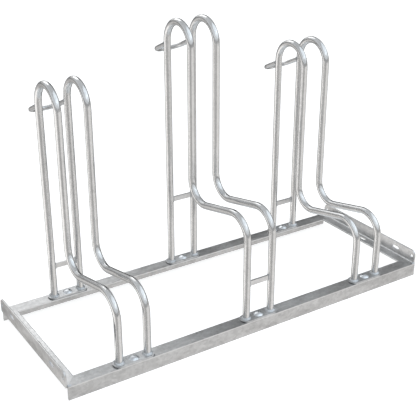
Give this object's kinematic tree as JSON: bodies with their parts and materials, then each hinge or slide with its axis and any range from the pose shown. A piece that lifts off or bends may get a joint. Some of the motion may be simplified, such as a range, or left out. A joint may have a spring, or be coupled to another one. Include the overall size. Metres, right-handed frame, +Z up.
{
  "type": "floor bike rack",
  "caption": "Free-standing floor bike rack: an angle-steel base frame with low and high wheel holders of bent tube, each with a lock loop.",
  "frame": {"origin": "on the floor, at the middle of the bottom of the box round the whole rack", "axes": "+X to the right along the long rails, +Y to the back, where the lock loops are, +Z up; wheels go in from the front, along +Y"},
  "size_m": [1.05, 0.459, 0.72],
  "materials": {
    "galvanised_steel": "hot-dip galvanised, mottled matt to satin zinc"
  },
  "bodies": {
    "root": {"front_rail": "galvanised_steel", "back_rail": "galvanised_steel", "left_side_rail": "galvanised_steel", "right_side_rail": "galvanised_steel", "left_holder_left_hoop": "galvanised_steel", "left_holder_right_hoop": "galvanised_steel", "middle_holder_left_hoop": "galvanised_steel", "middle_holder_right_hoop": "galvanised_steel", "right_holder_left_hoop": "galvanised_steel", "right_holder_right_hoop": "galvanised_steel", "left_lock_loop": "galvanised_steel", "middle_lock_loop": "galvanised_steel", "right_lock_loop": "galvanised_steel", "left_back_tie_bar": "galvanised_steel", "middle_back_tie_bar": "galvanised_steel", "right_back_tie_bar": "galvanised_steel", "middle_front_tie_bar": "galvanised_steel", "left_front_foot_plate": "galvanised_steel", "middle_front_foot_plate": "galvanised_steel", "right_front_foot_plate": "galvanised_steel", "left_back_foot_plate": "galvanised_steel", "middle_back_foot_plate": "galvanised_steel", "right_back_foot_plate": "galvanised_steel", "plate_bolts": "galvanised_steel", "plate_nuts": "galvanised_steel", "foot_welds": "galvanised_steel", "corner_welds": "galvanised_steel", "lock_loop_welds": "galvanised_steel", "tie_bar_welds": "galvanised_steel"}
  },
  "joints": []
}
